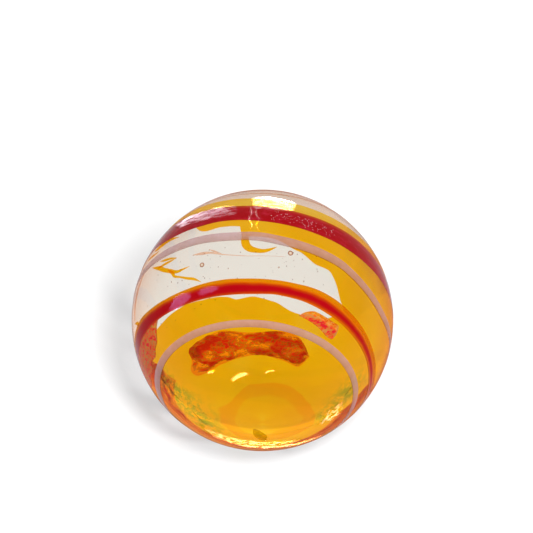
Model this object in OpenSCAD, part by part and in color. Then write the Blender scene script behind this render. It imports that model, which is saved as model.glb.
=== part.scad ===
// A hand-made glass marble: a clear ball with an amber layer, a red band and a lilac thread
// melted flush into its surface. The glass was turned on an axis that runs from front to back,
// so each half turn of a trail is a circle arc that stands upright, and from above it is straight.

/* [Ball] */
// Diameter of the ball
ball_d = 25; // [20:0.5:40]

/* [Amber layer] */
// Depth of the amber glass, measured inwards from the surface
amber_t = 0.8; // [0.6:0.1:1.2]
// Where the layer's far edge crosses the ball's right side, as an angle from the front
amber_edge_right = 111; // [107:1:112]
// Where it crosses the left side
amber_edge_left = 127; // [123:1:128]

/* [Clear window in the amber] */
// Where the window's front edge would cross the right side
window_front_right = 52.5; // [50:0.5:54]
// Where it crosses the left side
window_front_left = 65.5; // [63:0.5:67]
// How far behind the left side's middle line the window reaches down
window_drop = 3.2; // [2:0.2:4]

/* [Lilac thread] */
// Width of the thread
thread_w = 0.72; // [0.5:0.02:0.9]
// How far its centre lies under the surface
thread_sink = 0.1; // [0.04:0.02:0.14]

/* [Red band] */
// Depth of the red glass, measured inwards from the surface
red_t = 0.45; // [0.3:0.05:0.55]

/* [Hidden] */
$fn = 256;
ball_r = ball_d / 2;
reach = 1.2 * ball_r; // how far a cutter reaches past the ball's middle
outside = ball_r + 0.1; // the band's corners stand just outside the ball
joint_step = 0.02; // the thread's lower half turns are this much slimmer, so each joint is clean

// The crossings of a trail with the ball's sides, as angles from the front: right, left, right
// and so on. Between two of them lies one half turn, over the top or under the ball.
thread_crossings = [45.5, 53.5, 78, 101, 120];
red_front_edge = [54, 70, 91.5, 109.3];
red_back_edge = [60, 78, 101.5, 119];

// How far the thread runs on under the ball before its first crossing, and how much of its
// last half turn it makes, in degrees.
thread_run_in = 75;
thread_last_turn = 105;

// The red band starts from a point under the ball and ends there in a blunt nose, both in plan.
red_start = [0.25 * ball_r, -0.78 * ball_r];
red_end_front = [0.17 * ball_r, 0.548 * ball_r];
red_end_nose = [0.215 * ball_r, 0.59 * ball_r];
red_end_back = [0.15 * ball_r, 0.624 * ball_r];

// The window in plan: a round right end, and a straight run from there to the left side.
window_end = [0.12 * ball_r, -0.53 * ball_r];
window_end_r = 0.5 * ball_r;
window_step_x = -0.14 * ball_r;
window_back = [0.1 * ball_r, 0.16 * ball_r]; // how far back the run reaches, at its two ends

// The point of a side at an angle from the front: the right side where side is 1, else the left
function side_point(angle, side, r = ball_r) = r * [side * sin(angle), -cos(angle)];
function side_of(i) = i % 2 == 0 ? 1 : -1;

// A ball with its poles on the winding axis
module ball(r) rotate([90, 0, 0]) sphere(r);

// All that lies behind the straight line, in plan, between these crossings of the sides
module behind(right, left) {
    a = side_point(right, 1, reach / sin(right));
    b = side_point(left, -1, reach / sin(left));
    translate([0, 0, -reach])
        linear_extrude(2 * reach) polygon([a, b, [b[0], 2 * reach], [a[0], 2 * reach]]);
}

// A plan shape raised over the ball, or dropped below it
module upright(over)
    if (over) linear_extrude(reach) children();
    else mirror([0, 0, 1]) linear_extrude(reach) children();

module window_plan()
    difference() {
        union() {
            translate(window_end) circle(window_end_r);
            polygon([
                [window_step_x, -0.6 * ball_r], [window_step_x, window_back[0]],
                [-reach, window_back[1]], [-reach, -0.6 * ball_r]
            ]);
        }
        polygon([
            side_point(window_front_right, 1), side_point(window_front_left, -1),
            [-2 * reach, -0.4 * ball_r], [-2 * reach, -2 * reach], [2 * reach, -2 * reach]
        ]);
    }

module amber_window()
    translate([0, 0, -window_drop])
        linear_extrude(reach + window_drop) window_plan();

// The space that the amber fills, out to a radius
module amber_space(r)
    difference() {
        ball(r);
        ball(ball_r - amber_t);
        behind(amber_edge_right, amber_edge_left);
        amber_window();
    }

// The red band's walls: a straight strip in plan for each half turn
module red_strips() {
    last = len(red_front_edge) - 1;
    upright(false)
        polygon([red_start, side_point(red_front_edge[0], 1, outside),
            side_point(red_back_edge[0], 1, outside)]);
    for (i = [0 : last - 1])
        upright(i % 2 == 0)
            polygon([
                side_point(red_front_edge[i], side_of(i), outside),
                side_point(red_back_edge[i], side_of(i), outside),
                side_point(red_back_edge[i + 1], side_of(i + 1), outside),
                side_point(red_front_edge[i + 1], side_of(i + 1), outside)
            ]);
    upright(last % 2 == 0)
        polygon([
            side_point(red_front_edge[last], side_of(last), outside), red_end_front, red_end_nose,
            red_end_back, side_point(red_back_edge[last], side_of(last), outside)
        ]);
}

module red_space()
    difference() {
        red_strips();
        ball(ball_r - red_t);
    }

// One half turn of the thread: a ring's arc that stands on the chord between two crossings.
// It starts at an angle from the right-hand one, and its far end may be round.
module thread_arc(i, from, sweep, round_end = false) {
    r = ball_r - thread_sink;
    a = side_point(thread_crossings[i], side_of(i), r);
    b = side_point(thread_crossings[i + 1], side_of(i + 1), r);
    over = i % 2 == 0;
    slimmer = over ? 0 : joint_step;
    chord = side_of(i) * (a - b);
    translate((a + b) / 2)
        rotate([over ? 90 : -90, 0, atan2(chord[1], chord[0])]) {
            rotate_extrude(angle = sweep, start = from)
                translate([norm(chord) / 2, 0]) circle(d = thread_w - 2 * slimmer);
            if (round_end)
                rotate([0, 0, from + sweep])
                    translate([norm(chord) / 2, 0, 0]) sphere(d = thread_w - 4 * joint_step);
        }
}

module thread_tube() {
    last = len(thread_crossings) - 2;
    thread_arc(0, 180, -180 - thread_run_in, round_end = true);
    for (i = [1 : last - 1])
        thread_arc(i, 0, 180);
    thread_arc(last, 180, -thread_last_turn, round_end = true);
}

module clear_glass_body()
    color([0.9, 0.93, 0.92, 0.35])
        difference() {
            ball(ball_r);
            amber_space(reach);
            red_space();
            thread_tube();
        }

module amber_glass_layer()
    color([0.93, 0.62, 0.02])
        difference() {
            amber_space(ball_r);
            red_space();
            thread_tube();
        }

module red_glass_band()
    color([0.72, 0.02, 0.05])
        intersection() {
            ball(ball_r);
            red_space();
        }

module lilac_glass_thread()
    color([0.82, 0.68, 0.73])
        intersection() {
            ball(ball_r);
            thread_tube();
        }

clear_glass_body();
amber_glass_layer();
red_glass_band();
lilac_glass_thread();
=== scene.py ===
"""A hand-made glass marble: a clear ball cased in amber, with a red trail and a lilac thread.

Places on the ball are given as a maker reads them on the lathe: the angle from the front end of the
winding axis, and the angle round it (0 right, 90 top, 180 left, 270 under), both in degrees.
"""

import math

import bpy
import numpy as np
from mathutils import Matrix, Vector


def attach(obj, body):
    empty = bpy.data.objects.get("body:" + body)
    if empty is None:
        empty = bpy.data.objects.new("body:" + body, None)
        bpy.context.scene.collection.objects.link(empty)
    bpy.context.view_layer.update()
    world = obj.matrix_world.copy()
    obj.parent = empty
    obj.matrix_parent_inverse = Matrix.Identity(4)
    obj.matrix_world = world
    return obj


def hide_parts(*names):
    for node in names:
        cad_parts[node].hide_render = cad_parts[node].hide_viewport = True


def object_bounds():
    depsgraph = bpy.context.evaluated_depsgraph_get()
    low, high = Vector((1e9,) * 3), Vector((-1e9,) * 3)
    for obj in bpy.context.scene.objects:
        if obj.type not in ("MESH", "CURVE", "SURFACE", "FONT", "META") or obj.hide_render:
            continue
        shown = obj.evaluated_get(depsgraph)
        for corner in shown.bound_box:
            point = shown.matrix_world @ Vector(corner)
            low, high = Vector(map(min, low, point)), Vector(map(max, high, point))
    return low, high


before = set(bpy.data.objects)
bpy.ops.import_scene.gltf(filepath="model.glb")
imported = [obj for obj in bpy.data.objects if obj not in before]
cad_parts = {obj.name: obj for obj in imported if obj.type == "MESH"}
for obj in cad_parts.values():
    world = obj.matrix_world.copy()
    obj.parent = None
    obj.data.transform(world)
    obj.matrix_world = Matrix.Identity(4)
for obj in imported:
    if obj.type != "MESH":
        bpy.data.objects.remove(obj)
cad_low, cad_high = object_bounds()
BALL_R = (cad_high.z - cad_low.z) / 2
MM = 0.001

# Each glass reaches its own radius, so that no two faces lie in one place; the thread reaches BALL_R
CLEAR_R = BALL_R - 0.024 * MM
AMBER_R = BALL_R - 0.012 * MM
LUMP_R = BALL_R - 0.008 * MM
RED_R = BALL_R - 0.004 * MM

# Trails cross the ball's sides at these angles from the front: right, left, right and so on
THREAD_CROSSINGS = (45.5, 53.5, 78, 101, 120)
RED_FRONT = (54, 70, 91.5, 109.3, 130)
RED_BACK = (60, 78, 101.5, 119, 136)
# Where each trail starts and ends, in half turns past its first crossing
THREAD_TURNS = (-75 / 180, 3 + 105 / 180)
RED_TURNS = (-0.3, 3.417)
# How far the trails stray from their plain arcs: pairs of the angle turned since the first crossing,
# and degrees further back
THREAD_STRAY = (
    (360, 0), (380, -1), (395, 0.2), (406, 1.6), (414, 2.5), (429, 2.1), (442, 1.4), (452, 1.3),
    (464, 0.2), (478, -0.2), (498, -0.8), (530, -0.3), (560, 0),
)
RED_BACK_STRAY = (
    (0, 0), (15, 0.8), (32, 2.2), (47, 3.2), (60, 3.2), (68, 2.7), (75, 1.9), (85, 1.1), (97, 0.2),
    (112, -0.7), (123, -1.4), (135, -2), (150, -1.6), (180, 0), (270, 0), (360, 0), (385, 1.4),
    (405, 2.3), (432, 1.1), (461, 0.9), (472, 1.7), (482, 2.2), (494, 3), (510, 3.2), (530, 2.5), (560, 0),
)
RED_FRONT_STRAY = (
    (0, 0), (20, 0.8), (45, 2.1), (57, 2.4), (67, 2.4), (75, 2.1), (84, 1.7), (95, 0.4), (106, -0.2),
    (125, -0.9), (145, -0.7), (180, 0), (270, 0), (360, 0), (455, 0), (480, -1), (497, -1.2),
    (510, 0.3), (530, 0),
)

THREAD_W = 0.72 * MM
THREAD_SINK = 0.1 * MM
# Where the thread is wider: its turn, the spread of the swell in turns, and the share it adds
THREAD_SWELLS = ((1.12, 0.2, 0.4), (2.5, 0.5, 0.38))

RED_DEPTH = 0.45 * MM
# Each end's length in half turns, the degrees it draws in each edge, and the power of that taper
RED_LEAD_IN = (0.3, 2.9, 1.5)
RED_LEAD_OUT = (0.035, 2.6, 2)
# The crumbled end under the ball: pairs of the angle round the axis and the angle from the front
BROKEN_BACK = (
    (258.4, 124.6), (259.4, 125.6), (261, 126.6), (263.3, 127.3), (267.7, 127.2), (272.6, 127.3),
    (275.5, 126.7), (277.1, 125.4), (277.9, 123.9),
)
BROKEN_FRONT = (
    (258.4, 124.0), (259.6, 122.2), (260.7, 121.9), (262.8, 122.6), (265.5, 123.5), (267.9, 124),
    (270.9, 124), (273.1, 123.5), (274.8, 122.8), (275.9, 122.4), (277.1, 123.1), (277.9, 123.7),
)
# A crumbled lump at the near side, by the window
LUMP_BACK = ((45.2, 55.2), (46.3, 57.1), (50.9, 57.5), (56.8, 58.1), (62.3, 58.5), (67, 57), (69.5, 55.2))
LUMP_FRONT = ((45.2, 52.6), (46.4, 50.4), (50.2, 50.1), (56.3, 52), (62.7, 53.5), (68.9, 54.6), (69.5, 55))
# A thin red-brown smear at the left side, between the trail and the thread
SMEAR_BACK = ((150, 69.5), (156, 72), (168, 73), (180, 73.5), (192, 73), (204, 72), (216, 69), (222, 67.5))
SMEAR_FRONT = (
    (150, 68.5), (154, 64.5), (157, 60.8), (161, 59.6), (165, 57.6), (171, 58.6), (177, 56.9), (183, 59),
    (189, 58.3), (196, 61), (203, 60.6), (210, 64), (217, 64.6), (222, 67),
)

AMBER_DEPTH = 0.8 * MM
# The amber's far edge crosses the right side and the left side at these angles from the front
AMBER_EDGE = (111, 127)
# How far past its plain line the far edge lies: pairs of the angle round and degrees
AMBER_FAR_STEPS = (
    (248, 0), (254, -0.8), (260, -1.9), (265.5, -1.4), (267.5, 0.3), (270.9, 1.15), (274.1, 1.3),
    (276.2, 0.85), (280, -0.5), (286, -0.9), (292, 0),
)
# Patches of painted reflection, where the dark surroundings turn the amber olive: middle (from front,
# around), and spread of both
OLIVE_REFLECTION_PATCHES = ((46, 174, 9, 8), (37, 181, 8, 11), (28, 196, 7, 22), (42, 5, 9, 9), (30, 352, 6, 10))

# Outlines of the window in the amber, in plan: x to the right and y to the back, in ball radii
WINDOW_FRONT = (
    (-1.05, -0.2), (-0.9, -0.31), (-0.82, -0.41), (-0.7, -0.415), (-0.6, -0.413), (-0.435, -0.435),
    (-0.285, -0.447), (-0.2, -0.478), (-0.108, -0.476), (-0.026, -0.486), (0.11, -0.518),
    (0.22, -0.56), (0.35, -0.565), (0.48, -0.54), (0.66, -0.44),
)
WINDOW_RIGHT = (
    (0.50, -0.56), (0.64, -0.45), (0.628, -0.418), (0.6, -0.391), (0.584, -0.342), (0.569, -0.289),
    (0.545, -0.238), (0.516, -0.196), (0.473, -0.184), (0.405, -0.176), (0.352, -0.142), (0.299, -0.105),
    (0.232, -0.08), (0.15, -0.03), (0.05, 0.005), (-0.1, 0.02), (-0.16, 0.02),
)
WINDOW_LEFT = (
    (-1.05, 0.5), (-0.8, 0.45), (-0.6, 0.36), (-0.52, 0.27), (-0.48, 0.192), (-0.425, 0.162),
    (-0.343, 0.153), (-0.24, 0.144), (-0.165, 0.13),
)
WINDOW_STEP = -0.165
WINDOW_END = 0.62
# The back line is followed only behind this y, where it no longer turns back on itself
WINDOW_TURN = -0.452
WINDOW_DROP = 3.2 * MM

# Drawn-out strokes of glass: (angle from front, angle round, width in mm)
AMBER_STROKES = (
    (
        (91, 97.6, 0.7), (88.6, 97.6, 0.8), (86.2, 97.0, 0.8), (84.4, 95.4, 0.72), (83.4, 92.6, 0.55),
        (83.1, 89.8, 0.42), (83.7, 87.2, 0.32), (85.4, 83.6, 0.03),
    ),
    (
        (94.8, 147.6, 0.04), (92.6, 144.5, 0.3), (90.4, 141.4, 0.5), (88.2, 139.2, 0.46),
        (85.2, 135.2, 0.44), (82.9, 131.6, 0.34), (82.5, 128.4, 0.22), (82.4, 124.3, 0.04),
    ),
    ((94.3, 141.6, 0.05), (93.1, 138.4, 0.26), (91.8, 134.6, 0.22), (90.3, 131.0, 0.04)),
    ((91.4, 142.8, 0.1), (90.9, 139, 0.26), (90.4, 134.8, 0.2), (90.2, 131.2, 0.04)),
    (
        (86.4, 136.4, 0.1), (83.4, 133.8, 0.38), (81.2, 132.9, 0.26), (79.2, 129.6, 0.2),
        (77.0, 126.0, 0.26), (75.4, 122.8, 0.26), (72.8, 119.4, 0.04),
    ),
    ((106.1, 149, 0.05), (105.6, 146, 0.5), (105.3, 141.5, 0.55), (104.8, 136.5, 0.4), (102.8, 131, 0.05)),
    ((104.6, 155, 0.05), (103.8, 151, 0.26), (102.7, 146.9, 0.2), (102.6, 144, 0.04)),
    ((80.5, 170.5, 0.05), (77.5, 167, 0.5), (74, 167.6, 0.4), (71.5, 169.5, 0.1)),
)
PEACH_STROKES = (
    (
        (87.5, 122.3, 0.05), (86.6, 117.6, 0.32), (85.6, 113.3, 0.22), (82.9, 106.7, 0.1),
        (80.7, 95.5, 0.06), (80.7, 79.6, 0.03),
    ),
    ((87.6, 114.1, 0.03), (85.9, 111.6, 0.18), (83.8, 108.3, 0.03)),
    ((97.4, 155, 0.05), (94.6, 160.5, 0.5), (90, 165, 0.6), (85, 168.5, 0.4), (80, 171, 0.05)),
)
# Olive strokes: painted reflection of the dark surroundings, drawn into the amber
OLIVE_REFLECTION_STROKES = (
    ((7, 236, 0.1), (8.2, 252, 0.8), (11.5, 267, 1.1), (14.2, 272, 0.7), (15.6, 277, 0.05)),
    ((53, 171, 0.03), (50, 174.5, 0.12), (46.5, 176, 0.05), (43, 178.5, 0.14), (38, 181.5, 0.03)),
    ((33, 186, 0.03), (30.5, 192, 0.14), (28, 200, 0.06), (26, 207, 0.03)),
    ((47, 8.5, 0.03), (43, 6.5, 0.14), (39, 4.5, 0.03)),
)
# Bubbles: angle from the front, angle round the axis, radius in mm
BUBBLES = (
    (81.3, 118.3, 0.23), (83.5, 77.3, 0.25), (76, 105.7, 0.06), (75.4, 82.5, 0.08), (70.6, 70.3, 0.07),
    (60.8, 89.2, 0.05),
)

# The camera's height over the horizon
VIEW_HEIGHT = math.radians(51.0)


def on_ball(from_front, around, radius=1.0):
    """The point at two angles in degrees: radius times (sin a cos b, -cos a, sin a sin b)."""
    a, b = np.radians(from_front), np.radians(around)
    return np.stack([radius * np.sin(a) * np.cos(b), -radius * np.cos(a), radius * np.sin(a) * np.sin(b)], -1)


def smooth_path(points, steps):
    """A curve through given points: each span is the cubic whose end slopes are half the chord of the
    neighbours, sampled at even steps of its own parameter."""
    p = np.asarray(points, float)
    p = np.vstack([2 * p[0] - p[1], p, 2 * p[-1] - p[-2]])
    t = np.linspace(0, len(p) - 3, steps)
    i = np.minimum(t.astype(int), len(p) - 4)
    t = (t - i)[:, None]
    a, b, c, d = p[i], p[i + 1], p[i + 2], p[i + 3]
    return b + t * (c - a) / 2 + t**2 * (a - 2.5 * b + 2 * c - d / 2) + t**3 * (1.5 * (b - c) + (d - a) / 2)


def crossing_angle(crossings, turns):
    """The angle from the front of a trail, at a number of half turns past its first crossing. Between two
    crossings the trail lies in the upright plane y = slope x + shift through both, and on the unit ball
    that plane is at atan(slope cos b) + acos(-shift / sqrt(1 + (slope cos b)^2))."""
    turns = np.asarray(turns, float)
    i = np.clip(np.floor(turns), 0, len(crossings) - 2).astype(int)
    here, there = np.radians(np.take(crossings, i)), np.radians(np.take(crossings, i + 1))
    right, left = np.where(i % 2 == 0, here, there), np.where(i % 2 == 0, there, here)
    slope = (np.cos(left) - np.cos(right)) / (np.sin(right) + np.sin(left))
    shift = -np.cos(right) - slope * np.sin(right)
    tilt = slope * np.cos(np.radians(180 * turns))
    return np.degrees(np.arctan(tilt) + np.arccos(np.clip(-shift / np.sqrt(1 + tilt**2), -1, 1)))


def stray(turns, steps):
    """How far a trail strays from its plain arc, in degrees: the smooth curve through the listed
    steps, and nothing before and after them."""
    line = smooth_path(steps, 400)
    return np.interp(180 * turns, line[:, 0], line[:, 1], 0, 0)


def waver(x, size, seed, longest=1.0):
    """A soft random waver: five sines, each about half as long and half as high as the one before."""
    shorter = 1.9
    rng = np.random.default_rng(seed)
    total = np.zeros_like(np.asarray(x, float))
    for k in range(5):
        total += size / 2**k * np.sin(x * 2 * np.pi * shorter**k / longest + rng.uniform(0, 2 * np.pi))
    return total


def joined(*shapes):
    """Several closed shapes as one, each a tuple of points, faces and attributes."""
    start = np.cumsum([0] + [len(points) for points, _, _ in shapes])
    faces = [np.vstack([own[k] + start[n] for n, (_, own, _) in enumerate(shapes)]) for k in range(2)]
    keys = shapes[0][2].keys()
    values = {key: np.concatenate([np.ravel(shape[2][key]) for shape in shapes]) for key in keys}
    return np.vstack([points for points, _, _ in shapes]), faces, values


def new_mesh(name, points, faces, material, attributes=None):
    """A mesh of whole arrays of points and of faces, with a value for each point under each attribute."""
    mesh = bpy.data.meshes.new(name)
    mesh.from_pydata(points, [], faces)
    for key, values in (attributes or {}).items():
        layer = mesh.attributes.new(key, "FLOAT", "POINT")
        layer.data.foreach_set("value", np.asarray(values, np.float32).ravel())
    mesh.materials.append(material)
    return mesh


def placed(name, data):
    """A new object in the scene, at the origin."""
    item = bpy.data.objects.new(name, data)
    bpy.context.scene.collection.objects.link(item)
    return item


def make_piece(name, points, faces, material, attributes=None):
    """A piece that rides on the ball. Its faces are an array of quads and an array of triangles."""
    mesh = new_mesh(name, points, faces[0].tolist() + faces[1].tolist(), material, attributes)
    mesh.polygons.foreach_set("use_smooth", np.ones(len(mesh.polygons), bool))
    mesh.set_sharp_from_angle(angle=math.radians(40))
    piece = placed(name, mesh)
    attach(piece, "root")
    return piece


def tube_faces(along, around):
    """The quads between the rings of a closed tube, and the fans over each end's single point."""
    i, j = np.meshgrid(np.arange(along - 1), np.arange(around), indexing="ij")
    k = (j + 1) % around
    quads = np.stack([i * around + j, i * around + k, (i + 1) * around + k, (i + 1) * around + j], -1)
    ring = np.arange(around)
    first, last = along * around, along * around + 1
    start = np.stack([np.full(around, first), (ring + 1) % around, ring], -1)
    far = (along - 1) * around
    end = np.stack([np.full(around, last), ring + far, (ring + 1) % around + far], -1)
    return [quads.reshape(-1, 4), np.vstack([start, end])]


def turned_out(points, faces):
    """Reverses the faces if the closed mesh's volume, the sum of p . (q x r) over triangles, is negative."""
    quads, fans = faces
    triangles = np.vstack([quads[:, [0, 1, 2]], quads[:, [0, 2, 3]], fans])
    p, q, r = (points[triangles[:, k]] for k in range(3))
    return faces if (p * np.cross(q, r)).sum() > 0 else [quads[:, ::-1], fans[:, ::-1]]


def ball_surface(radius, rows, columns):
    """The ball as a grid of the two angles, its two poles closed by fans."""
    a, b = np.meshgrid(np.linspace(0, 180, rows + 2)[1:-1], np.arange(columns) * 360 / columns, indexing="ij")
    points = np.vstack([on_ball(a, b, radius).reshape(-1, 3), on_ball(0, 0, radius), on_ball(180, 0, radius)])
    return points, turned_out(points, tube_faces(rows, columns))


def ribbon(turns, front, back, radius, steps, broken=0.0):
    """A melted-in trail of red glass: at each step along it, a closed ring whose outer half lies on the
    ball between the two edges, and whose inner half dips below by the depth times the root of
    1 - (2v - 1)^2, where v runs from the front edge to the back edge."""
    across = 14
    u = np.linspace(*turns, steps)[:, None]
    v = np.concatenate([np.linspace(0, 1, across), np.linspace(1, 0, across)[1:-1]])[None, :]
    inner = np.concatenate([np.zeros(across), np.ones(across - 2)])[None, :]
    a = front(u) + v * (back(u) - front(u))
    r = radius - inner * RED_DEPTH * np.sqrt(np.clip(1 - (2 * v - 1) ** 2, 0, 1))
    rings = on_ball(a, 180 * u + 0 * v, r)
    points = np.vstack([rings.reshape(-1, 3), rings[[0, -1]].mean(1)])
    values = {
        "across": np.append((v + 0 * u).ravel(), [0.5, 0.5]),
        "along": np.append((u + 0 * v).ravel(), turns),
        "broken": np.full(len(points), broken),
    }
    return points, turned_out(points, tube_faces(steps, v.shape[1])), values


def thread_tube(steps, around=20):
    """The round thread carried along its path, with its outside pressed flush: a ring point stands
    r = min(ball, centre + w cos c) from the ball's middle and w sin c to the side. Half the width, w,
    wavers and swells along the path and is rounded off at both ends."""
    smallest, unevenness, seed = 0.0004, 0.03, 5
    u = np.linspace(*THREAD_TURNS, steps)[:, None]
    c = (np.arange(around) * 2 * np.pi / around)[None, :]
    end = np.minimum(u - THREAD_TURNS[0], THREAD_TURNS[1] - u) * np.pi * BALL_R / (THREAD_W / 2)
    rounded = np.sqrt(np.clip(1 - np.clip(1 - end, 0, 1) ** 2, smallest, 1))
    swollen = 1 + sum(share * np.exp(-((u - turn) / spread) ** 2) for turn, spread, share in THREAD_SWELLS)
    w = THREAD_W / 2 * rounded * (1 + waver(u, unevenness, seed)) * swollen
    r = np.minimum(BALL_R, BALL_R - THREAD_SINK + w * np.cos(c))
    a = crossing_angle(THREAD_CROSSINGS, u) + stray(u, THREAD_STRAY) + np.degrees(w * np.sin(c) / BALL_R)
    rings = on_ball(a, 180 * u + 0 * c, r)
    points = np.vstack([rings.reshape(-1, 3), rings[[0, -1]].mean(1)])
    values = {
        "side": np.append((np.sin(c) + 0 * u).ravel(), [0, 0]),
        "along": np.append((u + 0 * c).ravel(), THREAD_TURNS),
    }
    return points, turned_out(points, tube_faces(steps, around)), values


def outward_sign(points, triangles):
    """Plus one if the triangles' normals point away from the ball's middle."""
    p, q, r = (points[triangles[:, k]] for k in range(3))
    return np.sign((np.cross(q - p, r - p) * (p + q + r)).sum())


def sheet(level, outer_r, depth, rows, columns):
    """A closed sheet that follows the ball wherever level(angle, angle) is above 0.

    On the grid of the two angles, every point next to the zero line is moved onto it, the triangles
    inside are kept, a copy of them lies depth further in, and a wall joins the two round each edge."""
    a, b = np.meshgrid(np.linspace(0, 180, rows + 1), np.arange(columns) * 360 / columns, indexing="ij")
    value = level(a, b)
    nearest = np.ones_like(value)
    move_a, move_b = np.zeros_like(a), np.zeros_like(b)
    for down, right in ((1, 0), (-1, 0), (0, 1), (0, -1)):
        other = np.roll(value, (-down, -right), (0, 1))
        if down:
            pole = -1 if down > 0 else 0
            other[pole] = value[pole]
        crossing = (value > 0) != (other > 0)
        share = np.where(crossing, value / np.where(crossing, value - other, 1), 1)
        nearer = crossing & (share <= 0.5) & (share < nearest)
        nearest = np.where(nearer, share, nearest)
        move_a = np.where(nearer, share * down * 180 / rows, move_a)
        move_b = np.where(nearer, share * right * 360 / columns, move_b)
    moved = nearest < 1
    a, b = a + move_a, b + move_b

    # Two triangles for each cell, cut along whichever diagonal has both its ends inside
    n = np.arange((rows + 1) * columns).reshape(rows + 1, columns)
    n[0], n[-1] = 0, n[-1, 0]
    p00, p10 = n[:-1], n[1:]
    p01, p11 = np.roll(p00, -1, 1), np.roll(p10, -1, 1)
    inside = ((value > 0) | moved).ravel()
    crossed = ~(inside[p00] & inside[p11])[..., None]
    first = np.where(crossed, np.stack([p00, p10, p01], -1), np.stack([p00, p10, p11], -1))
    second = np.where(crossed, np.stack([p10, p11, p01], -1), np.stack([p00, p11, p01], -1))
    triangles = np.concatenate([first.reshape(-1, 3), second.reshape(-1, 3)])

    # Kept are whole triangles inside, without those that a pole makes flat
    sure = (value > 0).ravel() & ~moved.ravel()
    keep = inside[triangles].all(1) & (sure[triangles].any(1) | (value.ravel()[triangles].mean(1) > 0))
    keep &= (triangles != np.roll(triangles, 1, 1)).all(1)
    used, triangles = np.unique(triangles[keep], return_inverse=True)
    triangles = triangles.reshape(-1, 3)
    a, b = a.ravel()[used], b.ravel()[used]

    # A wall stands on each edge that only one triangle has
    edges = np.concatenate([triangles[:, [0, 1]], triangles[:, [1, 2]], triangles[:, [2, 0]]])
    _, index, counts = np.unique(np.sort(edges, 1), axis=0, return_index=True, return_counts=True)
    border = edges[index[counts == 1]]
    outer, inner = on_ball(a, b, outer_r), on_ball(a, b, outer_r - depth)
    size = len(used)
    walls = np.stack([border[:, 1], border[:, 0], border[:, 0] + size, border[:, 1] + size], -1)
    if outward_sign(outer, triangles) < 0:
        triangles, walls = triangles[:, ::-1], walls[:, ::-1]
    faces = [walls, np.vstack([triangles, triangles[:, ::-1] + size])]
    return np.vstack([outer, inner]), faces, np.concatenate([a, a]), np.concatenate([b, b])


def strokes(lines, depth, steps=40, around=10):
    """Fine drawn-out strokes of glass on the ball. A line is given as (from front, around, width in mm)
    points; the ring carried along it is side = w cos c, with dip = depth |sin c| on its inner half and
    a slight crown on its outer half."""
    thinnest, full_depth_half, crown = 0.01, 0.15 * MM, 0.002 * MM
    shapes = []
    c = (np.arange(around) * 2 * np.pi / around)[None, :, None]
    for line in lines:
        path = smooth_path(line, steps)
        middle = on_ball(path[:, 0], path[:, 1])
        ahead = np.gradient(middle, axis=0)
        side = np.cross(middle, ahead)
        side /= np.linalg.norm(side, axis=1)[:, None]
        half = np.maximum(path[:, 2], thinnest)[:, None, None] * MM / 2
        ring = middle[:, None, :] * AMBER_R + side[:, None, :] * half * np.cos(c)
        ring /= np.linalg.norm(ring, axis=2)[..., None]
        dip = depth * np.clip(half / full_depth_half, 0.1, 1) * np.clip(-np.sin(c), 0, 1)
        ring *= AMBER_R - dip + crown * np.clip(np.sin(c), 0, 1)
        points = np.vstack([ring.reshape(-1, 3), ring[[0, -1]].mean(1)])
        shapes.append((points, turned_out(points, tube_faces(steps, around)), {}))
    return joined(*shapes)[:2]


def dots(places, sizes, rows=4, columns=8):
    """Small round seeds: one coarse ball, copied to each place at its own size."""
    shape, faces = ball_surface(1.0, rows, columns)
    points = (places[:, None, :] + shape[None] * sizes[:, None, None]).reshape(-1, 3)
    start = np.arange(len(places))[:, None, None] * len(shape)
    return points, [(part[None] + start).reshape(-1, part.shape[1]) for part in faces]


def window_level(x, y, z):
    """Above 0 inside the clear window: between its front line and its back line in plan, and no lower
    on the left side than its drop. In ball radii."""
    front = smooth_path(WINDOW_FRONT, 200)
    right = smooth_path(WINDOW_RIGHT, 300)[::-1]
    left = smooth_path(WINDOW_LEFT, 200)
    ahead = y - np.interp(x, front[:, 0], front[:, 1]) - waver(x, 0.004, 11, 0.6)
    upper = right[right[:, 1] > WINDOW_TURN]
    behind_right = np.interp(x, upper[:, 0], upper[:, 1]) - y
    behind_left = np.interp(x, left[:, 0], left[:, 1]) - y - waver(x, 0.006, 12, 0.5)
    behind = np.where(x > WINDOW_STEP, behind_right, behind_left)
    return np.minimum.reduce([ahead, behind, WINDOW_END - x, z + WINDOW_DROP / BALL_R])


def amber_far_edge(b):
    """The angle from the front of the amber's far edge, at an angle round the axis."""
    turns = np.where(b <= 180, b / 180, (360 - b) / 180)
    steps = smooth_path(AMBER_FAR_STEPS, 200)
    extra = np.interp(b, steps[:, 0], steps[:, 1])
    return crossing_angle(AMBER_EDGE, turns) + waver(b / 360, 0.5, 21) + extra


def amber_level(a, b):
    """Above 0 where the amber lies: in front of its far edge and outside the window, in degrees."""
    x, y, z = np.moveaxis(on_ball(a, b), -1, 0)
    hole = np.degrees(window_level(x, y, z))
    return np.minimum(amber_far_edge(b) - a, -hole)


def add(tree, kind, inputs=None, **settings):
    """Adds a shader node; an input is a value or another node's output."""
    node = tree.nodes.new("ShaderNode" + kind)
    for key, value in settings.items():
        setattr(node, key, value)
    for key, value in (inputs or {}).items():
        if isinstance(value, bpy.types.NodeSocket):
            tree.links.new(value, node.inputs[key])
        else:
            node.inputs[key].default_value = value
    return node


def surface(tree, kind, inputs):
    """The surface that one shader makes."""
    return add(tree, kind, inputs).outputs[0]


def shaders(tree, share, first, second):
    """The second surface by its share, the first one for the rest."""
    return surface(tree, "MixShader", {0: share, 1: first, 2: second})


def new_material(name):
    """An empty node material with its node tree."""
    material = bpy.data.materials.new(name)
    material.use_nodes = True
    material.node_tree.nodes.clear()
    return material, material.node_tree


def finished(material, shown):
    """The material with its surface joined to the output."""
    tree = material.node_tree
    tree.links.new(shown, add(tree, "OutputMaterial").inputs["Surface"])
    return material


def colour(r, g, b):
    """A colour that nothing shows through."""
    return (r, g, b, 1.0)


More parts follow.
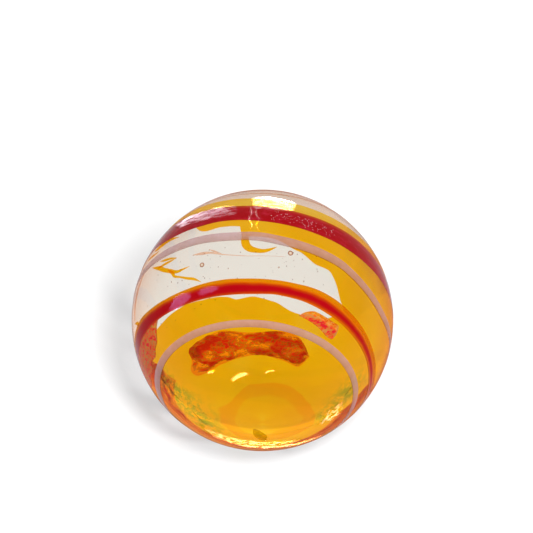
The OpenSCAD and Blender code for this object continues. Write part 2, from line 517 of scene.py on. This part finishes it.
def grey(value):
    """A grey of one strength."""
    return colour(value, value, value)


WHITE = grey(1)


def maths(tree, operation, *values, clamp=False):
    """One calculation on values or other nodes' outputs."""
    return add(tree, "Math", dict(enumerate(values)), operation=operation, use_clamp=clamp).outputs[0]


def plus(tree, first, second, clamp=False):
    """The sum of both."""
    return maths(tree, "ADD", first, second, clamp=clamp)


def times(tree, first, second):
    """The product of both."""
    return maths(tree, "MULTIPLY", first, second)


def rise(tree, value, start, slope):
    """(value - start) x slope, kept between 0 and 1."""
    return maths(tree, "MULTIPLY", maths(tree, "SUBTRACT", value, start), slope, clamp=True)


def swing(tree, value, size):
    """A noise's swing about its middle: (value - 0.5) x size."""
    return times(tree, maths(tree, "SUBTRACT", value, 0.5), size)


def off_middle(tree, value, scale, middle):
    """How far scale x value lies from a middle: |scale x value - middle|."""
    return maths(tree, "ABSOLUTE", maths(tree, "SUBTRACT", times(tree, value, scale), middle))


def own_place(tree):
    """The piece's own coordinates."""
    return add(tree, "TexCoord").outputs["Object"]


def noise(tree, size, detail=3.0, rough=0.55, place=None):
    """Soft noise with features of about this size, on the piece's own coordinates in metres unless
    others are given."""
    vector = place or own_place(tree)
    inputs = {"Vector": vector, "Scale": 1 / size, "Detail": detail, "Roughness": rough}
    return add(tree, "TexNoise", inputs).outputs["Fac"]


def ramp(tree, value, stops):
    """A colour ramp through (place, colour) stops."""
    node = add(tree, "ValToRGB", {"Fac": value})
    while len(node.color_ramp.elements) < len(stops):
        node.color_ramp.elements.new(0.5)
    for element, (place, shade) in zip(node.color_ramp.elements, stops):
        element.position, element.color = place, shade
    return node.outputs["Color"]


def mixed(tree, share, first, second):
    """The second colour by its share, the first one for the rest."""
    node = add(tree, "Mix", data_type="RGBA")
    for socket, value in zip((node.inputs[0], node.inputs[6], node.inputs[7]), (share, first, second)):
        tree.links.new(value, socket)
    return node.outputs[2]


def plain(tree, shade):
    """A plain colour, to be mixed with others."""
    node = add(tree, "RGB")
    node.outputs[0].default_value = shade
    return node.outputs[0]


def attribute(tree, name):
    """A value that the piece carries on its points."""
    return add(tree, "Attribute", attribute_name=name).outputs["Fac"]


def facing(tree, blend=0.5):
    """0 where the surface looks at the eye, rising to 1 where it turns away."""
    return add(tree, "LayerWeight", {"Blend": blend}).outputs["Facing"]


def lighting_ray(tree):
    """One for the rays that only carry light to other things."""
    path = add(tree, "LightPath")
    return maths(tree, "MAXIMUM", path.outputs["Is Shadow Ray"], path.outputs["Is Diffuse Ray"])


def seen_ray(tree):
    """One for the rays that bring what the eye sees, straight, by a mirror or through glass."""
    path = add(tree, "LightPath")
    seen = plus(tree, path.outputs["Is Camera Ray"], path.outputs["Is Glossy Ray"], clamp=True)
    return plus(tree, seen, path.outputs["Is Transmission Ray"], clamp=True)


def melted_skin(tree):
    """The faint waves of fire-polished glass."""
    inputs = {"Height": noise(tree, 6 * MM, 1.5), "Strength": 0.12, "Distance": 0.4 * MM}
    return add(tree, "Bump", inputs).outputs[0]


def clear_glass():
    """Clear glass that casts a neutral shadow. Where it turns away a painted shade makes it darker and a
    little pink, or amber-brown under the amber."""
    material, tree = new_material("clear_glass")
    face_on = colour(0.995, 0.985, 0.945)
    turned = facing(tree)
    # Painted shade at the limb: darker and pinker where the glass turns away, amber-brown where amber lies
    # over it
    bare_limb_shade = ramp(tree, turned, (
        (0.0, face_on),
        (0.42, colour(0.985, 0.965, 0.925)),
        (0.6, colour(0.92, 0.83, 0.78)),
        (0.78, colour(0.82, 0.68, 0.62)),
        (1.0, colour(0.5, 0.33, 0.3)),
    ))
    cased = ramp(tree, turned, (
        (0.5, face_on),
        (0.8, colour(0.85, 0.76, 0.6)),
        (1.0, colour(0.45, 0.33, 0.2)),
    ))
    shade = mixed(tree, attribute(tree, "cased"), bare_limb_shade, cased)
    inputs = {"Color": shade, "Roughness": 0.0, "IOR": 1.5, "Normal": melted_skin(tree)}
    glass = surface(tree, "BsdfGlass", inputs)
    shadow = surface(tree, "BsdfTransparent", {"Color": grey(0.72)})
    return finished(material, shaders(tree, lighting_ray(tree), glass, shadow))


def front_gloss(tree, ior=1.14):
    """How much the amber's outside mirrors: less where it turns away, and nothing on the inside, where
    the ball's own glass already mirrors."""
    inside = add(tree, "NewGeometry").outputs["Backfacing"]
    mirrored = add(tree, "Fresnel", {"IOR": ior}).outputs[0]
    dulled = ramp(tree, facing(tree), ((0.42, WHITE), (0.7, grey(0.35)), (1.0, grey(0.12))))
    return times(tree, times(tree, mirrored, maths(tree, "SUBTRACT", 1.0, inside)), dulled)


def amber_glass():
    """Amber glass tints what passes its outer face, more where it is deeper and along its rim."""
    material, tree = new_material("amber_glass")
    depth = attribute(tree, "depth")
    streaks = times(tree, swing(tree, noise(tree, 5 * MM, 2.0), 0.4), depth)
    rim = ramp(tree, times(tree, attribute(tree, "edge"), 0.4), (
        (0.0, grey(0)), (0.05, WHITE), (0.55, grey(0.8)), (0.64, grey(0)),
    ))
    bead = times(tree, times(tree, rim, attribute(tree, "under")), 0.26)
    depth = plus(tree, plus(tree, depth, bead), streaks, clamp=True)
    tint = ramp(tree, depth, (
        (0.0, WHITE),
        (0.3, colour(1.0, 0.82, 0.12)),
        (0.65, colour(1.0, 0.53, 0.0)),
        (1.0, colour(0.94, 0.36, 0.0)),
    ))
    # Painted reflection: olive mottling where the dark surroundings show in the amber
    mottle = rise(tree, noise(tree, 1.0 * MM, 6.0, 0.75), 0.44, 7.0)
    olive_reflection = plain(tree, colour(0.46, 0.4, 0.01))
    tint = mixed(tree, times(tree, mottle, attribute(tree, "olive_reflection")), tint, olive_reflection)
    seen = surface(tree, "BsdfTransparent", {"Color": tint})
    cast = surface(tree, "BsdfTransparent", {"Color": grey(0.9)})
    through = shaders(tree, lighting_ray(tree), seen, cast)
    gloss = surface(tree, "BsdfGlossy", {"Color": WHITE, "Roughness": 0.02, "Normal": melted_skin(tree)})
    return finished(material, shaders(tree, front_gloss(tree), through, gloss))


def hidden_face():
    """The amber's walls and inner face, where one glass melts into the other and nothing shows."""
    material, tree = new_material("amber_inner_face")
    return finished(material, surface(tree, "BsdfTransparent", {"Color": WHITE}))


def coloured_glass(tree, shade, shine=0.1, back_light=0.3):
    """Dense coloured glass: a glossy body that lets some light through from behind."""
    skin = melted_skin(tree)
    inputs = {"Base Color": shade, "Roughness": 0.06, "Specular IOR Level": shine, "Normal": skin}
    body = surface(tree, "BsdfPrincipled", inputs)
    return shaders(tree, back_light, body, surface(tree, "BsdfTranslucent", {"Color": shade}))


def thinned(material, share, body, tint):
    """The finished material of a dense glass that is clear, with a tint, by a share."""
    tree = material.node_tree
    return finished(material, shaders(tree, share, body, surface(tree, "BsdfTransparent", {"Color": tint})))


def red_glass():
    """Crimson in its middle, orange where its edges thin out, and crumbled where it is broken."""
    material, tree = new_material("red_glass")
    side, along, broken = (attribute(tree, name) for name in ("across", "along", "broken"))

    # The trail's first turn is more orange, and its later ones are redder out to the edges
    core = 0.37
    later = rise(tree, along, 1.2, 1.2)
    edge = plus(tree, off_middle(tree, side, 2.0, 2 * core), swing(tree, noise(tree, 1.6 * MM, 3), 0.3))
    edge = plus(tree, edge, rise(tree, along, 0.72, -0.6))
    edge = maths(tree, "SUBTRACT", edge, times(tree, later, 0.42))
    shade = ramp(tree, edge, (
        (0.0, colour(0.4, 0.0, 0.004)),
        (0.42, colour(0.43, 0.001, 0.004)),
        (0.7, colour(0.48, 0.04, 0.0)),
        (1.0, colour(0.72, 0.18, 0.0)),
    ))

    # Pink lines drawn out lengthwise
    lengthwise = add(tree, "CombineXYZ", {0: times(tree, along, 30.0), 1: times(tree, side, 5.0)}).outputs[0]
    lines = noise(tree, 1.0, 5.0, 0.7, lengthwise)
    pink = plain(tree, colour(0.72, 0.03, 0.08))
    shade = mixed(tree, times(tree, rise(tree, lines, 0.5, 2.2), later), shade, pink)

    # Crumbs, drawn out to twice their length across the ball
    drawn = add(tree, "Mapping", {"Vector": own_place(tree), "Scale": (0.5, 1.0, 1.0)}).outputs[0]
    grain = noise(tree, 0.34 * MM, 5.0, 0.65, drawn)
    fleck = noise(tree, 0.13 * MM, 3.0, 0.6, drawn)
    crumb = plus(tree, times(tree, grain, 0.65), times(tree, fleck, 0.35))
    crumbs = ramp(tree, crumb, (
        (0.44, colour(0.7, 0.01, 0.04)),
        (0.475, colour(0.85, 0.07, 0.03)),
        (0.5, colour(1.0, 0.27, 0.0)),
        (0.54, colour(1.0, 0.65, 0.2)),
    ))
    shade = mixed(tree, broken, shade, crumbs)

    # Clear shares: gaps between the crumbs, the trail's thin edges, and the lumps' frayed rims
    gaps = times(tree, rise(tree, crumb, 0.46, 12.0), broken)
    thin = times(tree, rise(tree, edge, 0.85, 4.0), 0.6)
    rim = plus(tree, off_middle(tree, side, 2.0, 1.0), grain)
    fray = times(tree, rise(tree, rim, 1.3, 9.0), broken)
    share = maths(tree, "MAXIMUM", maths(tree, "MAXIMUM", gaps, thin), fray)
    return thinned(material, share, coloured_glass(tree, shade, 0.05), colour(1.0, 0.72, 0.08))


def lilac_glass():
    """Milky lilac glass with soft streaks, browner at one side, and denser at the ball's left side."""
    material, tree = new_material("lilac_glass")
    streaks = plus(tree, times(tree, attribute(tree, "side"), 0.3), noise(tree, 0.9 * MM, 3))
    shade = ramp(tree, streaks, (
        (0.1, colour(0.52, 0.3, 0.28)),
        (0.42, colour(0.6, 0.36, 0.37)),
        (0.85, colour(0.7, 0.47, 0.51)),
    ))
    densest_turn, densest_share, plain_share = 1.08, 0.15, 0.52
    away = times(tree, off_middle(tree, attribute(tree, "along"), 1.0, densest_turn), 4.0)
    share = plus(tree, densest_share, times(tree, away, plain_share - densest_share))
    share = maths(tree, "MINIMUM", share, plain_share)
    return thinned(material, share, coloured_glass(tree, shade, 0.15, 0.45), colour(1, 0.95, 0.92))


def wisp_glass(name, tint, share, shade):
    """A thin stroke of coloured glass: clear with a tint by a share, with some body of its own."""
    material, tree = new_material(name)
    uneven = plus(tree, share, swing(tree, noise(tree, 0.6 * MM, 2), 0.5), clamp=True)
    return thinned(material, uneven, coloured_glass(tree, shade), tint)


def bubble_glass():
    """A trapped bubble: clear in the middle, with a painted shade, a brown-orange rim, where it turns away.
    """
    material, tree = new_material("bubble")
    # Painted shade and reflection of the bubble's edge: darker brown-orange where it turns away, lighter
    # again at the very rim
    shade = ramp(tree, facing(tree, 0.35), (
        (0.0, colour(1, 0.97, 0.94)),
        (0.12, colour(0.95, 0.82, 0.7)),
        (0.3, colour(0.68, 0.33, 0.15)),
        (0.6, colour(0.6, 0.24, 0.08)),
        (1.0, colour(0.85, 0.55, 0.35)),
    ))
    return finished(material, surface(tree, "BsdfTransparent", {"Color": shade}))


def build_clear_ball():
    """The clear ball; its points know where amber lies over them."""
    points, faces = ball_surface(CLEAR_R, 178, 360)
    from_front = np.degrees(np.arccos(-points[:, 1] / CLEAR_R))
    around = np.degrees(np.arctan2(points[:, 2], points[:, 0])) % 360
    cased = np.clip(amber_level(from_front, around) + 0.5, 0, 1)
    ball = make_piece("clear_glass_ball", points, faces, clear_glass(), {"cased": cased})
    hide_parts("clear_glass_body")


def build_amber_sheet():
    """The amber layer. Its tint is deepest, as painted shade, at the two sides, thins out towards the far
    edge and is faint under the ball; each olive patch of painted reflection fades as exp(-(da^2 + db^2)) from
    its middle."""
    points, faces, a, b = sheet(amber_level, AMBER_R, AMBER_DEPTH, 180, 360)
    under = np.clip(-np.sin(np.radians(b)) * 1.5, 0, 1) * np.clip((a - 80) / 20, 0, 1)
    far = np.clip((a - 102) / 12, 0, 1)
    # Painted shade: 0.12 cos^2 b deepens the tint towards the left and right limbs
    depth = (0.64 + 0.12 * np.cos(np.radians(b)) ** 2) * (1 - 0.8 * under) * (1 - 0.35 * far)
    olive_reflection = np.zeros_like(a)
    for middle_a, middle_b, spread_a, spread_b in OLIVE_REFLECTION_PATCHES:
        beside = (b - middle_b + 180) % 360 - 180
        olive_reflection += np.exp(-((a - middle_a) / spread_a) ** 2 - (beside / spread_b) ** 2)
    values = {"depth": depth, "edge": amber_far_edge(b) - a, "under": under, "olive_reflection": np.clip(olive_reflection, 0, 1)}
    amber = make_piece("amber_glass_sheet", points, faces, amber_glass(), values)

    # The walls come first and the inner face last, and neither shows
    amber.data.materials.append(hidden_face())
    slots = np.zeros(len(amber.data.polygons), np.int32)
    slots[:len(faces[0])] = 1
    slots[len(faces[0]) + len(faces[1]) // 2:] = 1
    amber.data.polygons.foreach_set("material_index", slots)
    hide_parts("amber_glass_layer")


def red_taper(u):
    """How many degrees each edge of the red trail draws in at its two ends."""
    length, drawn_in, power = RED_LEAD_IN
    start = drawn_in * np.clip(1 - (u - RED_TURNS[0]) / length, 0, 1) ** power
    length, drawn_in, power = RED_LEAD_OUT
    return start + drawn_in * np.clip(1 - (RED_TURNS[1] - u) / length, 0, 1) ** power


def red_front(u):
    """The trail's front edge, as an angle from the front."""
    return crossing_angle(RED_FRONT, u) + stray(u, RED_FRONT_STRAY) + waver(u, 0.35, 3) + red_taper(u)


def red_back(u):
    """The trail's back edge, as an angle from the front."""
    return crossing_angle(RED_BACK, u) + stray(u, RED_BACK_STRAY) + waver(u, 0.35, 4) - red_taper(u)


def lump(back_points, front_points, turns, radius, broken):
    """A patch of red glass between two given lines, this many half turns along the trail."""
    def edge(points):
        """The angle from the front of a given line, at a number of half turns."""
        line = smooth_path(points, 200)
        return lambda u: np.interp(180 * (u - turns), line[:, 0], line[:, 1])

    ends = (back_points[0][0] / 180 + turns, back_points[-1][0] / 180 + turns)
    return ribbon(ends, edge(front_points), edge(back_points), radius, 90, broken)


def build_red_trail():
    """The red trail with its crumbled far end, the lump by the window and the smear at the left."""
    points, faces, values = joined(
        ribbon(RED_TURNS, red_front, red_back, RED_R, 640),
        lump(BROKEN_BACK, BROKEN_FRONT, 2, RED_R, 1.0),
        lump(LUMP_BACK, LUMP_FRONT, 0, LUMP_R, 0.5),
        lump(SMEAR_BACK, SMEAR_FRONT, 0, LUMP_R, 0.6),
    )
    red = make_piece("red_glass_trail", points, faces, red_glass(), values)
    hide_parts("red_glass_band")


def build_thread():
    """The lilac thread."""
    points, faces, values = thread_tube(720)
    thread = make_piece("lilac_thread_trail", points, faces, lilac_glass(), values)
    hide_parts("lilac_glass_thread")


def far_streaks():
    """Faint random streaks drawn round the clear far end, over the top."""
    rng = np.random.default_rng(31)
    lines = []
    for a, start, end, width in rng.uniform((121, 25, 95, 0.08), (142, 80, 160, 0.3), (9, 4)):
        b = np.linspace(start, end, 5)
        drift = a + rng.normal(0, 0.7, 5) + (b - 90) * 0.03
        lines.append(tuple(zip(drift, b, (0.02, width, width * 0.6, width * 0.8, 0.02))))
    return lines


def build_wisps():
    """The fine strokes of glass: each kind has its own glass and its depth in mm."""
    amber = wisp_glass("amber_wisp", colour(1.0, 0.72, 0.08), 0.9, colour(0.9, 0.5, 0.0))
    peach = wisp_glass("peach_wisp", colour(0.97, 0.8, 0.7), 0.9, colour(0.85, 0.5, 0.38))
    beige = wisp_glass("beige_streak", colour(0.95, 0.84, 0.76), 0.95, colour(0.7, 0.5, 0.38))
    # The olive streaks paint a reflection of the dark surroundings
    olive_reflection = wisp_glass("olive_reflection_streak", colour(0.85, 0.8, 0.3), 0.95, colour(0.3, 0.24, 0.0))
    for name, lines, glass, depth, slot in (
        ("amber_wisps", AMBER_STROKES, amber, 0.25, "amber_glass"),
        ("peach_wisps", PEACH_STROKES, peach, 0.15, "red_glass"),
        ("beige_streaks", far_streaks(), beige, 0.12, "clear_glass"),
        ("olive_reflection_streaks", OLIVE_REFLECTION_STROKES, olive_reflection, 0.3, "amber_glass"),
    ):
        points, faces = strokes(lines, depth * MM)
        make_piece(name, points, faces, glass)


def scattered(rng, count, low, high):
    """Random places between two (from front, around) corners, with random radii."""
    a, b = rng.uniform(low, high, (count, 2)).T
    return a, b, rng.uniform(0.02, 0.06, count) * MM


def build_bubbles_and_seeds():
    """The bubbles, the brown seeds in the window, and pale flecks of painted sparkle that just break the
    red's surface.
    """
    bubble_gap, seed_gap, fleck_sink = 0.06 * MM, 0.05 * MM, 0.75
    a, b, size = np.array(BUBBLES).T
    size = size * MM
    middle = on_ball(a, b, CLEAR_R - bubble_gap) * (1 - size / CLEAR_R)[:, None]
    points, faces = dots(middle, size, 14, 24)
    make_piece("bubbles", points, faces, bubble_glass())

    rng = np.random.default_rng(7)
    a, b, size = scattered(rng, 110, (62, 60), (88, 165))
    middle = on_ball(a, b, CLEAR_R - seed_gap) * (1 - size / CLEAR_R)[:, None]
    points, faces = dots(middle, size)
    brown = wisp_glass("brown_seed", colour(0.7, 0.5, 0.4), 0.4, colour(0.4, 0.16, 0.08))
    make_piece("seeds", points, faces, brown)

    # The flecks lie between the red trail's two edges, by a share of its width
    share, b, size = scattered(rng, 90, (0.15, 55), (0.85, 86))
    front, back = crossing_angle(RED_FRONT, 2 + b / 180), crossing_angle(RED_BACK, 2 + b / 180)
    middle = on_ball(front + share * (back - front), b, BALL_R) * (1 - fleck_sink * size / BALL_R)[:, None]
    points, faces = dots(middle, size)
    # Painted highlights: the pale flecks paint the sparkle of the red's rough top
    sparkle_tint = wisp_glass("painted_sparkle_fleck", colour(1, 0.85, 0.88), 0.2, colour(0.95, 0.75, 0.8))
    make_piece("painted_sparkle_flecks", points, faces, sparkle_tint)


def build_marble():
    """All the marble's pieces."""
    build_clear_ball()
    build_amber_sheet()
    build_red_trail()
    build_thread()
    build_wisps()
    build_bubbles_and_seeds()


def build_floor():
    """A pale floor under the ball, with a share of plain white over what the lamp lights."""
    half, white_share = 3.0, 0.4
    material, tree = new_material("pale_floor")
    lit = surface(tree, "BsdfDiffuse", {"Color": grey(0.86)})
    white = surface(tree, "Emission", {"Color": WHITE, "Strength": 1.0})
    finished(material, shaders(tree, times(tree, seen_ray(tree), white_share), lit, white))
    corners = [(x * half, y * half, cad_low.z) for x, y in ((-1, -1), (1, -1), (1, 1), (-1, 1))]
    floor = placed("floor", new_mesh("floor", corners, [(0, 1, 2, 3)], material))


def build_surround():
    """A world that lights at a lower strength than the white that is seen."""
    light, seen_strength = 0.6, 1.0
    world = bpy.data.worlds.new("pale_surround")
    world.use_nodes = True
    tree = world.node_tree
    tree.nodes.clear()
    strength = plus(tree, light, times(tree, seen_ray(tree), seen_strength - light))
    background = surface(tree, "Background", {"Color": WHITE, "Strength": strength})
    tree.links.new(background, add(tree, "OutputWorld").inputs["Surface"])
    bpy.context.scene.world = world


def build_lamp():
    """One soft round lamp, high up in front of the ball and to its right, and aimed at it. No mirror
    and no glass shows it."""
    lamp = bpy.data.lights.new("soft_lamp", "AREA")
    lamp.shape, lamp.size, lamp.energy = "DISK", 0.09, 2.1
    holder = placed("soft_lamp", lamp)
    holder.location = (0.07, -0.235, 0.37)
    holder.rotation_euler = (-holder.location).to_track_quat("-Z", "Y").to_euler()
    holder.visible_glossy = holder.visible_transmission = False


# Reflections of the room: each fills the space between two lines on the ball, (from front, around)
LEFT_PANE = (
    (
        ((118.1, 140), (117.4, 132), (116.7, 120.9), (115.9, 110.3), (114.3, 101.4)),
        ((110.5, 133), (108.9, 126.3), (107.6, 116.1), (106.6, 107.9), (106.6, 100.8)),
    ),
)
RIGHT_PANE = (
    (
        ((121, 95.9), (122, 90.2), (121.5, 83.4), (119.3, 75.9), (117.0, 72.8)),
        ((109.8, 94.4), (109.4, 90.2), (109.0, 84.1), (108.8, 78.0), (109.2, 75.1)),
    ),
)
BARS = (
    (
        ((111.3, 95.8), (106.3, 94.7), (102.0, 96.0), (97.9, 94.6), (93.7, 95.9)),
        ((111.3, 95.3), (106.3, 94.4), (102.0, 95.6), (97.9, 94.3), (93.7, 95.7)),
    ),
    (
        ((111.0, 92.1), (106.1, 92.9), (101.7, 91.5), (97.8, 92.8), (94.0, 91.1)),
        ((111.0, 91.7), (106.1, 92.6), (101.7, 91.1), (97.8, 92.5), (94.0, 90.9)),
    ),
)
CURTAIN = (
    (
        ((67.4, 141.3), (69.8, 137.3), (71.5, 133.4), (71.1, 129.2), (70.0, 125.4)),
        ((66.3, 138.2), (65.9, 134.2), (66.6, 130.1), (67.0, 127.5), (68.1, 125.4)),
    ),
    (
        ((69.1, 122.9), (69.6, 118.4), (69.3, 114.3), (68.0, 110.4)),
        ((67.2, 122.8), (66.8, 118.5), (66.7, 114.8), (67.2, 111.1)),
    ),
)
LOW_GLINTS = (
    (((34.5, 136.8), (34.0, 133.8), (33.6, 130.5)), ((33.6, 138.2), (33.1, 134.4), (33.3, 130.8))),
    (
        ((26.3, 122.8), (27.8, 116.6), (28.5, 110.0), (27.8, 103.6)),
        ((25.2, 123.0), (26.1, 115.1), (26.8, 108.2), (26.9, 104.1)),
    ),
    (((26.9, 87.5), (28.6, 83.0), (28.4, 78.3)), ((26.5, 87.5), (27.8, 83.0), (28.1, 78.3))),
)
CRESCENTS = (
    (
        ((31.1, 202.7), (22.9, 222.8), (17.5, 251.6), (18.6, 287.5), (24.8, 313.2)),
        ((32.9, 206.7), (26.4, 228), (22.0, 254.6), (22.4, 284.5), (28, 310.2)),
    ),
    (
        ((33.9, 218.5), (27.5, 236), (26.2, 257.8), (27.2, 282.0), (33.6, 303.9), (41.0, 320)),
        ((33, 214.5), (25.6, 232.3), (22.8, 256.8), (23.4, 282.0), (29.6, 303.9), (38.0, 318)),
    ),
)
SIDE_HAZE = ((((27.5, 350), (33, 357), (39.5, 358.5)), ((27, 338), (33, 341), (38.6, 345.5))),)
# Name, lines, tint, strength, share that is streaky, and streaks along and across
REFLECTIONS = (
    ("window_left_pane", LEFT_PANE, (1, 0.9, 1), 36.0, 1.0, (5.0, 18.0)),
    ("window_right_pane", RIGHT_PANE, (1, 0.97, 1), 60.0, 0.85, (4.0, 14.0)),
    ("window_bars", BARS, (1, 1, 0.95), 90.0, 0.5, (5.0, 18.0)),
    ("violet_curtain", CURTAIN, (0.8, 0.45, 1), 60.0, 0.5, (5.0, 18.0)),
    ("low_glints", LOW_GLINTS, (1, 0.97, 0.95), 150.0, 0.8, (5.0, 18.0)),
    ("crescent_streaks", CRESCENTS, (1, 0.9, 0.72), 26.0, 1.0, (16.0, 5.0)),
    ("side_haze", SIDE_HAZE, (0.95, 0.85, 1), 20.0, 1.0, (5.0, 6.0)),
)


def glow_material(name, tint, strength, streaky, grain):
    """A glow of drawn-out streaks that fades at both ends."""
    material, tree = new_material(name)
    along = attribute(tree, "along")
    wide = times(tree, attribute(tree, "across"), grain[1])
    spread = add(tree, "CombineXYZ", {0: times(tree, along, grain[0]), 1: wide}).outputs[0]
    inputs = {"Vector": spread, "Scale": 1.0, "Detail": 4.0, "Distortion": 0.4}
    lines = rise(tree, add(tree, "TexNoise", inputs).outputs["Fac"], 0.47, 9.0)
    strong = plus(tree, 1 - streaky, times(tree, lines, streaky))
    fade = rise(tree, off_middle(tree, along, 1.0, 0.5), 0.5, -5.0)
    strong = times(tree, times(tree, strong, fade), strength)
    return finished(material, surface(tree, "Emission", {"Color": colour(*tint), "Strength": strong}))


def glow_sheets(name, pairs, tint, strength, streaky, grain):
    """Glowing sheets that only mirrors see, so they light nothing. Each stands where its mirror image
    on the ball fills the space between two given lines: n R + t (2 (n v) n - v), where n is the
    place on the ball, v the way to the viewer, and t the reach, or less where the floor is nearer."""
    rows, columns, reach, floor_gap, flattest = 40, 8, 0.3, 0.5 * MM, 1e-6
    v = np.array([0, -math.cos(VIEW_HEIGHT), math.sin(VIEW_HEIGHT)])
    along, across = np.meshgrid(np.linspace(0, 1, rows), np.linspace(0, 1, columns), indexing="ij")
    share = across[..., None]
    points = []
    for near, far in pairs:
        place = smooth_path(near, rows)[:, None] * (1 - share) + smooth_path(far, rows)[:, None] * share
        n = on_ball(place[..., 0], place[..., 1])
        ray = 2 * (n @ v)[..., None] * n - v
        floor_reach = (n[..., 2] * BALL_R + BALL_R - floor_gap) / np.maximum(-ray[..., 2], flattest)
        points.append((n * BALL_R + ray * np.minimum(reach, floor_reach)[..., None]).reshape(-1, 3))
    i, j = np.meshgrid(np.arange(rows - 1), np.arange(columns - 1), indexing="ij")
    corner = i * columns + j
    quads = np.stack([corner, corner + 1, corner + columns + 1, corner + columns], -1).reshape(-1, 4)
    start = np.arange(len(pairs))[:, None, None] * along.size
    faces = (quads[None] + start).reshape(-1, 4).tolist()
    values = {"along": np.tile(along.ravel(), len(pairs)), "across": np.tile(across.ravel(), len(pairs))}
    material = glow_material(name, tint, strength, streaky, grain)
    sheets = placed(name, new_mesh(name, np.vstack(points), faces, material, values))
    sheets.visible_camera = sheets.visible_diffuse = False
    sheets.visible_shadow = sheets.visible_transmission = False


def build_stage():
    """The floor, the surround, the lamp and the sheets that the ball mirrors."""
    build_floor()
    build_surround()
    build_lamp()
    for reflection in REFLECTIONS:
        glow_sheets(*reflection)


def build_camera():
    """Looks along +Y and down on the ball, with no perspective, framed as the photograph is."""
    frame_width, off_right, off_up, distance = 50.86 * MM, 0.391 * MM, 5.14 * MM, 0.3
    back = np.array([0, -math.cos(VIEW_HEIGHT), math.sin(VIEW_HEIGHT)])
    up = np.array([0, math.sin(VIEW_HEIGHT), math.cos(VIEW_HEIGHT)])
    camera = bpy.data.cameras.new("camera")
    camera.type, camera.ortho_scale = "ORTHO", frame_width
    camera.clip_start, camera.clip_end = 0.001, 10.0
    holder = placed("camera", camera)
    holder.location = back * distance + up * off_up + np.array([off_right, 0, 0])
    holder.rotation_euler = (math.pi / 2 - VIEW_HEIGHT, 0, 0)
    bpy.context.scene.camera = holder


build_marble()
build_stage()
build_camera()
bpy.context.scene.view_settings.view_transform = "Standard"
